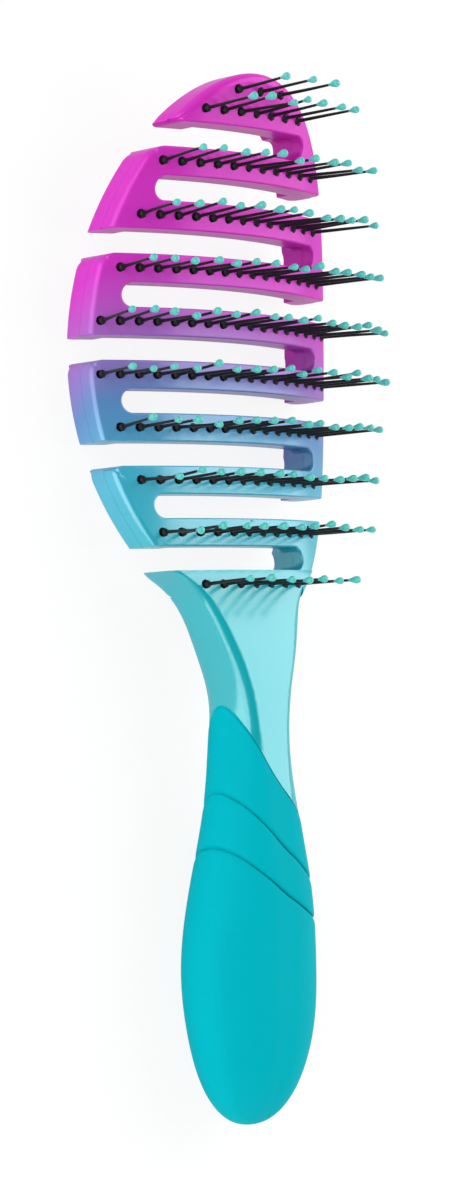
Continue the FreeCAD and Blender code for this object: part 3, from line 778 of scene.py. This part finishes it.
    def cut_grooves(self, lines, rings):
        """Smooth over the CAD grooves, then press soft ones in, and roll the upper edge."""
        clear = [all(abs(y - groove) * math.cos(slant) > self.SKIP for groove, slant in self.grooves())
                 for y in lines]
        known = [i for i, free in enumerate(clear) if free]
        table = np.array([[point[:] for point in rings[i]] for i in known])
        for i, y in enumerate(lines):
            if not clear[i]:
                after = next(k for k, index in enumerate(known) if index > i)
                first, second = known[after - 1], known[after]
                share = (y - lines[first]) / (lines[second] - lines[first])
                blend = table[after - 1] * (1 - share) + table[after] * share
                rings[i] = [Vector(point) for point in blend]
            middle = sum(rings[i], Vector()) / self.SIDES
            inward = self.press(y)
            rings[i] = [point + (middle - point).normalized() * inward for point in rings[i]]

    def heel_rings(self, last):
        """Rings that round off the flat end of the heel."""
        middle = sum(last, Vector()) / self.SIDES
        return [[middle + (point - middle) * share - Vector((0, run, 0)) for point in last]
                for run, share in self.HEEL]

    def press(self, y):
        """How far a ring is pressed in, by the grooves and by the rolled edge, which stands proud."""
        grip = self.grip
        inward = 0.0
        for groove, slant in self.grooves():
            share = abs(y - groove) * math.cos(slant) / (grip.groove_width / 2)
            if share < 1:
                dip = self.DIP * (1 - share) ** 2
                inward += grip.groove_depth * (dip + (1 - self.DIP) * max(0.0, 1 - self.NARROW * share))
        away = (grip.edge_y - y) * math.cos(self.slant(y))
        inward -= grip.proud * max(0.0, 1 - away / grip.proud_run) ** 2
        rim = away / grip.lip
        if rim < 1:
            rise = max(0.0, (rim - self.SEAM) / (1 - self.SEAM))
            inward += grip.seam * (1 - math.sqrt(1 - (1 - rise) ** 2))
        return inward


def area_lamp(name, place, aim, width, power):
    """A square soft lamp that looks at a point."""
    data = bpy.data.lights.new(name, "AREA")
    data.energy = power
    data.size = width
    lamp = bpy.data.objects.new(name, data)
    lamp.location = place
    lamp.rotation_euler = (Vector(aim) - Vector(place)).to_track_quat("-Z", "Y").to_euler()
    bpy.context.scene.collection.objects.link(lamp)


def seen_directly(tree):
    """One for rays from the camera, from gloss or through glass, and otherwise nought."""
    path = add_node(tree, "ShaderNodeLightPath")
    either = add_node(tree, "ShaderNodeMath", operation="MAXIMUM")
    tree.links.new(path.outputs["Is Camera Ray"], either.inputs[0])
    tree.links.new(path.outputs["Is Glossy Ray"], either.inputs[1])
    every = add_node(tree, "ShaderNodeMath", operation="MAXIMUM")
    tree.links.new(either.outputs["Value"], every.inputs[0])
    tree.links.new(path.outputs["Is Transmission Ray"], every.inputs[1])
    return every.outputs["Value"]


class BRUSH_OT_set_stage(bpy.types.Operator):
    """Set up the floor, the lamps and the camera"""
    bl_idname = "brush.set_stage"
    bl_label = "Set the stage"
    FLOOR_SIZE = 6
    FLOOR_COLOUR = (0.9, 0.9, 0.9, 1)
    # The point that the lamps look at, and the place and width of each
    AIM = (0, 0.02, 0.015)
    LAMPS = {"key": ((-0.95, 0.05, 0.36), 1.3), "fill": ((0.68, 0.3, 0.68), 1.0),
             "low": ((0.15, -0.95, 0.2), 0.6)}
    FRAME_HEIGHT = 36

    def execute(self, context):
        stage = context.scene.brush_stage
        self.lay_floor(stage)
        self.light(context, stage)
        self.place_camera(context, stage)
        context.scene.view_settings.view_transform = "Standard"
        return {"FINISHED"}

    def lay_floor(self, stage):
        """A pale floor that the camera sees as nearly white, with the brush's shadow on it."""
        material = bpy.data.materials.new("pale_floor")
        material.use_nodes = True
        tree = material.node_tree
        tree.nodes.clear()
        matte = add_node(tree, "ShaderNodeBsdfDiffuse", {"Color": self.FLOOR_COLOUR})
        glow = add_node(tree, "ShaderNodeEmission", {"Color": (1, 1, 1, 1), "Strength": 1.0})
        share = add_node(tree, "ShaderNodeMath", operation="MULTIPLY")
        share.inputs[1].default_value = stage.floor_glow
        tree.links.new(seen_directly(tree), share.inputs[0])
        mix = add_node(tree, "ShaderNodeMixShader")
        tree.links.new(share.outputs["Value"], mix.inputs["Fac"])
        tree.links.new(matte.outputs["BSDF"], mix.inputs[1])
        tree.links.new(glow.outputs["Emission"], mix.inputs[2])
        out = add_node(tree, "ShaderNodeOutputMaterial")
        tree.links.new(mix.outputs["Shader"], out.inputs["Surface"])
        mesh = bmesh.new()
        bmesh.ops.create_grid(mesh, x_segments=1, y_segments=1, size=self.FLOOR_SIZE)
        floor = new_piece("floor", mesh, material)
        floor.location.z = CAD_BOX[0].z

    def light(self, context, stage):
        """Light from all sides that fades upwards, a key, a fill and a low lamp."""
        world = bpy.data.worlds.new("studio")
        context.scene.world = world
        world.use_nodes = True
        tree = world.node_tree
        sky = tree.nodes["Background"]
        sky.inputs["Color"].default_value = (1, 1, 1, 1)
        place = add_node(tree, "ShaderNodeTexCoord")
        height = add_node(tree, "ShaderNodeSeparateXYZ")
        tree.links.new(place.outputs["Generated"], height.inputs["Vector"])
        level = add_node(tree, "ShaderNodeMapRange", {"To Min": stage.horizon, "To Max": stage.zenith})
        tree.links.new(height.outputs["Z"], level.inputs["Value"])
        tree.links.new(level.outputs["Result"], sky.inputs["Strength"])
        for name, (spot, width) in self.LAMPS.items():
            area_lamp(name, spot, self.AIM, width, getattr(stage, name))

    def place_camera(self, context, stage):
        """The camera, on the left of the brush and above it."""
        data = bpy.data.cameras.new("camera")
        data.sensor_fit = "VERTICAL"
        data.sensor_height = self.FRAME_HEIGHT
        data.lens = stage.lens
        camera = bpy.data.objects.new("camera", data)
        camera.location = stage.camera_place
        camera.rotation_euler = stage.camera_turn
        context.scene.collection.objects.link(camera)
        context.scene.camera = camera


class BRUSH_PT_panel(bpy.types.Panel):
    """Steps that finish the brush"""
    bl_idname = "BRUSH_PT_panel"
    bl_label = "Detangling Brush"
    bl_space_type = "VIEW_3D"
    bl_region_type = "UI"
    bl_category = "Brush"

    def draw(self, context):
        for operator in OPERATORS:
            self.layout.operator(operator.bl_idname)


FINISHES = {"brush_paint": BrushPaint, "brush_corners": BrushCorners, "brush_pins": BrushPins,
            "brush_grip": BrushGrip, "brush_stage": BrushStage}
OPERATORS = (BRUSH_OT_paint_head, BRUSH_OT_round_corners, BRUSH_OT_bend_webs, BRUSH_OT_plant_pins,
             BRUSH_OT_bond_tips, BRUSH_OT_mould_grip, BRUSH_OT_set_stage)


def register():
    for name, group in FINISHES.items():
        bpy.utils.register_class(group)
        setattr(bpy.types.Scene, name, PointerProperty(type=group))
    for item in (*OPERATORS, BRUSH_PT_panel):
        bpy.utils.register_class(item)


def unregister():
    for item in (BRUSH_PT_panel, *reversed(OPERATORS)):
        bpy.utils.unregister_class(item)
    for name, group in reversed(FINISHES.items()):
        delattr(bpy.types.Scene, name)
        bpy.utils.unregister_class(group)


def main():
    register()
    bpy.ops.brush.paint_head()
    bpy.ops.brush.round_corners()
    bpy.ops.brush.bend_webs()
    bpy.ops.brush.plant_pins()
    bpy.ops.brush.bond_tips()
    bpy.ops.brush.mould_grip()
    bpy.ops.brush.set_stage()


if __name__ == "__main__":
    main()
